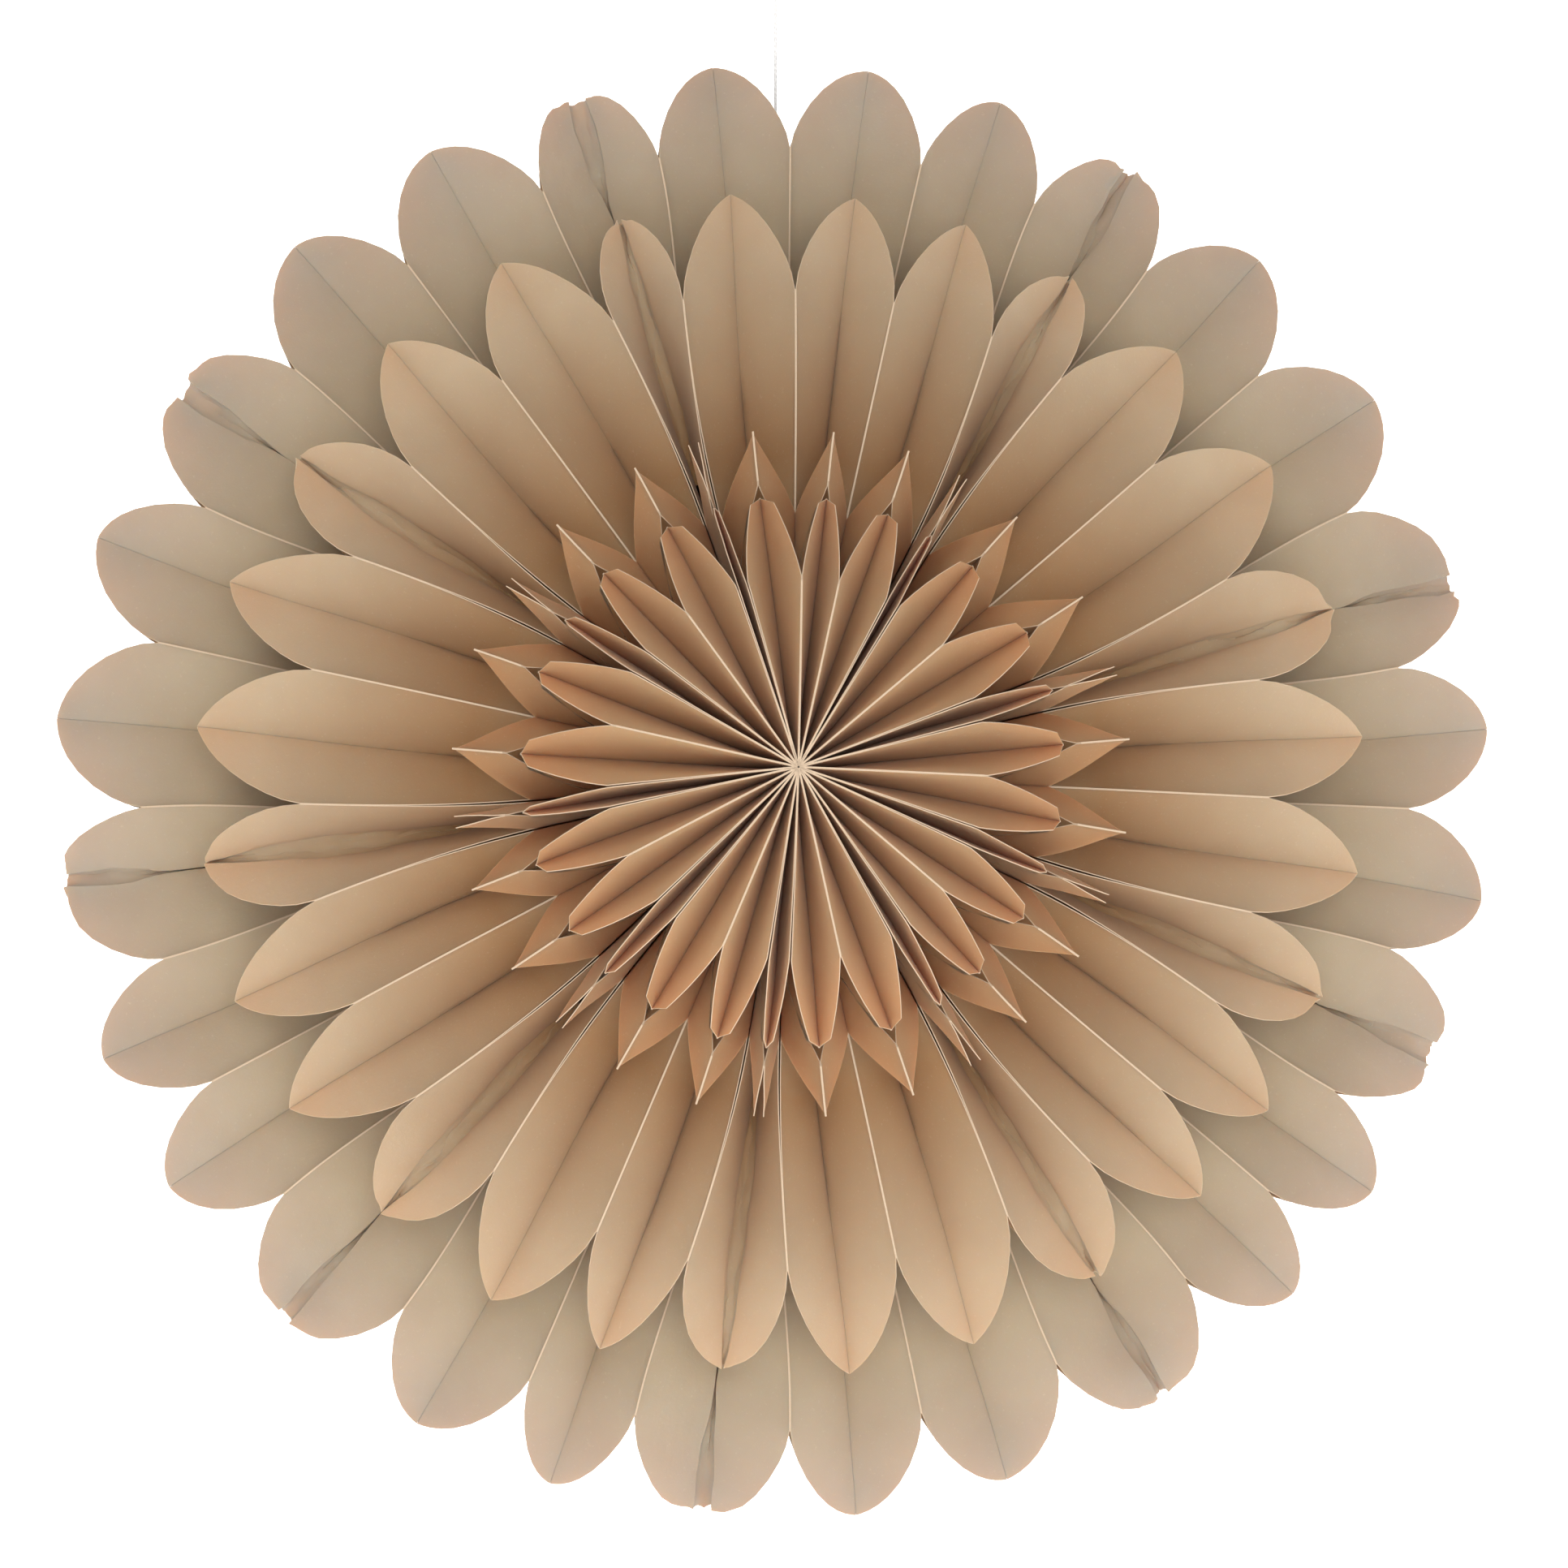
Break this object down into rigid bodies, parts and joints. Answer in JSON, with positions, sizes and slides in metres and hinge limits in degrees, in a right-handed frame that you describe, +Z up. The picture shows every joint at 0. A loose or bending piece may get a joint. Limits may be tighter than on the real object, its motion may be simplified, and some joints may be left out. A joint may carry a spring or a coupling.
{
  "type": "paper honeycomb ball",
  "caption": "Round paper honeycomb flower ball for hanging: a fan of die-cut leaves glued into cells, opened into a ring with three tiers of pointed petals, on a cord with a loop.",
  "frame": {"origin": "the point inside the top of the hanging loop where a hook bears", "axes": "+Z up, +Y along the spine from the front of the ball to its back, +X to the right as seen from the front"},
  "size_m": [0.4968, 0.344, 0.5694],
  "materials": {
    "leaf_paper": "matte",
    "spine_card": "matte",
    "thread": "matte",
    "adhesive": "satin",
    "cord": "matte"
  },
  "bodies": {
    "root": {"cell_01": "leaf_paper", "spine_core": "spine_card", "binding_thread": "thread", "binding_knot_front": "thread", "binding_knot_back": "thread", "seam_strip_02": "adhesive", "seam_strip_04": "adhesive", "seam_strip_06": "adhesive", "seam_strip_08": "adhesive", "seam_strip_10": "adhesive", "cord_knot": "cord", "hanging_cord": "cord", "loop_knot": "cord", "hanging_loop": "cord"},
    "fan_leaf_02": {"cell_02": "leaf_paper"},
    "fan_leaf_03": {"cell_03": "leaf_paper"},
    "fan_leaf_04": {"cell_04": "leaf_paper"},
    "fan_leaf_05": {"cell_05": "leaf_paper"},
    "fan_leaf_06": {"cell_06": "leaf_paper"},
    "fan_leaf_07": {"cell_07": "leaf_paper"},
    "fan_leaf_08": {"cell_08": "leaf_paper"},
    "fan_leaf_09": {"cell_09": "leaf_paper"},
    "fan_leaf_10": {"cell_10": "leaf_paper"},
    "fan_leaf_11": {"cell_11": "leaf_paper"},
    "fan_leaf_12": {"cell_12": "leaf_paper"},
    "fan_leaf_13": {"cell_13": "leaf_paper"},
    "fan_leaf_14": {"cell_14": "leaf_paper"},
    "fan_leaf_15": {"cell_15": "leaf_paper"},
    "fan_leaf_16": {"cell_16": "leaf_paper"},
    "fan_leaf_17": {"cell_17": "leaf_paper"},
    "fan_leaf_18": {"cell_18": "leaf_paper"},
    "fan_leaf_19": {"cell_19": "leaf_paper"},
    "fan_leaf_20": {"cell_20": "leaf_paper"},
    "fan_leaf_21": {"cell_21": "leaf_paper"},
    "fan_leaf_22": {"cell_22": "leaf_paper"},
    "fan_leaf_23": {"cell_23": "leaf_paper"},
    "fan_leaf_24": {"cell_24": "leaf_paper"},
    "fan_leaf_25": {"cell_25": "leaf_paper"},
    "fan_leaf_26": {"cell_26": "leaf_paper"},
    "fan_leaf_27": {"cell_27": "leaf_paper"},
    "fan_leaf_28": {"cell_28": "leaf_paper"}
  },
  "joints": [
    {"name": "fan_02", "type": "hinge", "parent": "root", "child": "fan_leaf_02", "pos_m": [0, 0, -0.31975], "axis": [0, 1, 0], "range_deg": [-12.37, 0], "deforming": ["cell_02"]},
    {"name": "fan_03", "type": "hinge", "parent": "root", "child": "fan_leaf_03", "pos_m": [0, 0, -0.31975], "axis": [0, 1, 0], "range_deg": [-24.72, 0], "deforming": ["cell_03"]},
    {"name": "fan_04", "type": "hinge", "parent": "root", "child": "fan_leaf_04", "pos_m": [0, 0, -0.31975], "axis": [0, 1, 0], "range_deg": [-37.08, 0], "deforming": ["cell_04"]},
    {"name": "fan_05", "type": "hinge", "parent": "root", "child": "fan_leaf_05", "pos_m": [0, 0, -0.31975], "axis": [0, 1, 0], "range_deg": [-49.43, 0], "deforming": ["cell_05"]},
    {"name": "fan_06", "type": "hinge", "parent": "root", "child": "fan_leaf_06", "pos_m": [0, 0, -0.31975], "axis": [0, 1, 0], "range_deg": [-61.79, 0], "deforming": ["cell_06"]},
    {"name": "fan_07", "type": "hinge", "parent": "root", "child": "fan_leaf_07", "pos_m": [0, 0, -0.31975], "axis": [0, 1, 0], "range_deg": [-74.14, 0], "deforming": ["cell_07"]},
    {"name": "fan_08", "type": "hinge", "parent": "root", "child": "fan_leaf_08", "pos_m": [0, 0, -0.31975], "axis": [0, 1, 0], "range_deg": [-86.5, 0], "deforming": ["cell_08"]},
    {"name": "fan_09", "type": "hinge", "parent": "root", "child": "fan_leaf_09", "pos_m": [0, 0, -0.31975], "axis": [0, 1, 0], "range_deg": [-98.85, 0], "deforming": ["cell_09"]},
    {"name": "fan_10", "type": "hinge", "parent": "root", "child": "fan_leaf_10", "pos_m": [0, 0, -0.31975], "axis": [0, 1, 0], "range_deg": [-111.21, 0], "deforming": ["cell_10"]},
    {"name": "fan_11", "type": "hinge", "parent": "root", "child": "fan_leaf_11", "pos_m": [0, 0, -0.31975], "axis": [0, 1, 0], "range_deg": [-123.57, 0], "deforming": ["cell_11"]},
    {"name": "fan_12", "type": "hinge", "parent": "root", "child": "fan_leaf_12", "pos_m": [0, 0, -0.31975], "axis": [0, 1, 0], "range_deg": [-135.92, 0], "deforming": ["cell_12"]},
    {"name": "fan_13", "type": "hinge", "parent": "root", "child": "fan_leaf_13", "pos_m": [0, 0, -0.31975], "axis": [0, 1, 0], "range_deg": [-148.28, 0], "deforming": ["cell_13"]},
    {"name": "fan_14", "type": "hinge", "parent": "root", "child": "fan_leaf_14", "pos_m": [0, 0, -0.31975], "axis": [0, 1, 0], "range_deg": [-160.63, 0], "deforming": ["cell_14"]},
    {"name": "fan_15", "type": "hinge", "parent": "root", "child": "fan_leaf_15", "pos_m": [0, 0, -0.31975], "axis": [0, 1, 0], "range_deg": [-172.99, 0], "deforming": ["cell_15"]},
    {"name": "fan_16", "type": "hinge", "parent": "root", "child": "fan_leaf_16", "pos_m": [0, 0, -0.31975], "axis": [0, 1, 0], "range_deg": [-185.34, 0], "deforming": ["cell_16"]},
    {"name": "fan_17", "type": "hinge", "parent": "root", "child": "fan_leaf_17", "pos_m": [0, 0, -0.31975], "axis": [0, 1, 0], "range_deg": [-197.7, 0], "deforming": ["cell_17"]},
    {"name": "fan_18", "type": "hinge", "parent": "root", "child": "fan_leaf_18", "pos_m": [0, 0, -0.31975], "axis": [0, 1, 0], "range_deg": [-210.05, 0], "deforming": ["cell_18"]},
    {"name": "fan_19", "type": "hinge", "parent": "root", "child": "fan_leaf_19", "pos_m": [0, 0, -0.31975], "axis": [0, 1, 0], "range_deg": [-222.41, 0], "deforming": ["cell_19"]},
    {"name": "fan_20", "type": "hinge", "parent": "root", "child": "fan_leaf_20", "pos_m": [0, 0, -0.31975], "axis": [0, 1, 0], "range_deg": [-234.77, 0], "deforming": ["cell_20"]},
    {"name": "fan_21", "type": "hinge", "parent": "root", "child": "fan_leaf_21", "pos_m": [0, 0, -0.31975], "axis": [0, 1, 0], "range_deg": [-247.12, 0], "deforming": ["cell_21"]},
    {"name": "fan_22", "type": "hinge", "parent": "root", "child": "fan_leaf_22", "pos_m": [0, 0, -0.31975], "axis": [0, 1, 0], "range_deg": [-259.48, 0], "deforming": ["cell_22"]},
    {"name": "fan_23", "type": "hinge", "parent": "root", "child": "fan_leaf_23", "pos_m": [0, 0, -0.31975], "axis": [0, 1, 0], "range_deg": [-271.83, 0], "deforming": ["cell_23"]},
    {"name": "fan_24", "type": "hinge", "parent": "root", "child": "fan_leaf_24", "pos_m": [0, 0, -0.31975], "axis": [0, 1, 0], "range_deg": [-284.19, 0], "deforming": ["cell_24"]},
    {"name": "fan_25", "type": "hinge", "parent": "root", "child": "fan_leaf_25", "pos_m": [0, 0, -0.31975], "axis": [0, 1, 0], "range_deg": [-296.54, 0], "deforming": ["cell_25"]},
    {"name": "fan_26", "type": "hinge", "parent": "root", "child": "fan_leaf_26", "pos_m": [0, 0, -0.31975], "axis": [0, 1, 0], "range_deg": [-308.9, 0], "deforming": ["cell_26"]},
    {"name": "fan_27", "type": "hinge", "parent": "root", "child": "fan_leaf_27", "pos_m": [0, 0, -0.31975], "axis": [0, 1, 0], "range_deg": [-321.25, 0], "deforming": ["cell_27"]},
    {"name": "fan_28", "type": "hinge", "parent": "root", "child": "fan_leaf_28", "pos_m": [0, 0, -0.31975], "axis": [0, 1, 0], "range_deg": [-333.6, 0], "deforming": ["cell_28", "cell_01"]}
  ],
  "couplings": [
    {"joint": "fan_02", "follows": "fan_28", "ratio": 0.037037},
    {"joint": "fan_03", "follows": "fan_28", "ratio": 0.074074},
    {"joint": "fan_04", "follows": "fan_28", "ratio": 0.11111},
    {"joint": "fan_05", "follows": "fan_28", "ratio": 0.14815},
    {"joint": "fan_06", "follows": "fan_28", "ratio": 0.18518},
    {"joint": "fan_07", "follows": "fan_28", "ratio": 0.22222},
    {"joint": "fan_08", "follows": "fan_28", "ratio": 0.25926},
    {"joint": "fan_09", "follows": "fan_28", "ratio": 0.2963},
    {"joint": "fan_10", "follows": "fan_28", "ratio": 0.33333},
    {"joint": "fan_11", "follows": "fan_28", "ratio": 0.37037},
    {"joint": "fan_12", "follows": "fan_28", "ratio": 0.40741},
    {"joint": "fan_13", "follows": "fan_28", "ratio": 0.44444},
    {"joint": "fan_14", "follows": "fan_28", "ratio": 0.48148},
    {"joint": "fan_15", "follows": "fan_28", "ratio": 0.51852},
    {"joint": "fan_16", "follows": "fan_28", "ratio": 0.55556},
    {"joint": "fan_17", "follows": "fan_28", "ratio": 0.59259},
    {"joint": "fan_18", "follows": "fan_28", "ratio": 0.62963},
    {"joint": "fan_19", "follows": "fan_28", "ratio": 0.66667},
    {"joint": "fan_20", "follows": "fan_28", "ratio": 0.7037},
    {"joint": "fan_21", "follows": "fan_28", "ratio": 0.74074},
    {"joint": "fan_22", "follows": "fan_28", "ratio": 0.77778},
    {"joint": "fan_23", "follows": "fan_28", "ratio": 0.81481},
    {"joint": "fan_24", "follows": "fan_28", "ratio": 0.85185},
    {"joint": "fan_25", "follows": "fan_28", "ratio": 0.88889},
    {"joint": "fan_26", "follows": "fan_28", "ratio": 0.92593},
    {"joint": "fan_27", "follows": "fan_28", "ratio": 0.96296}
  ]
}
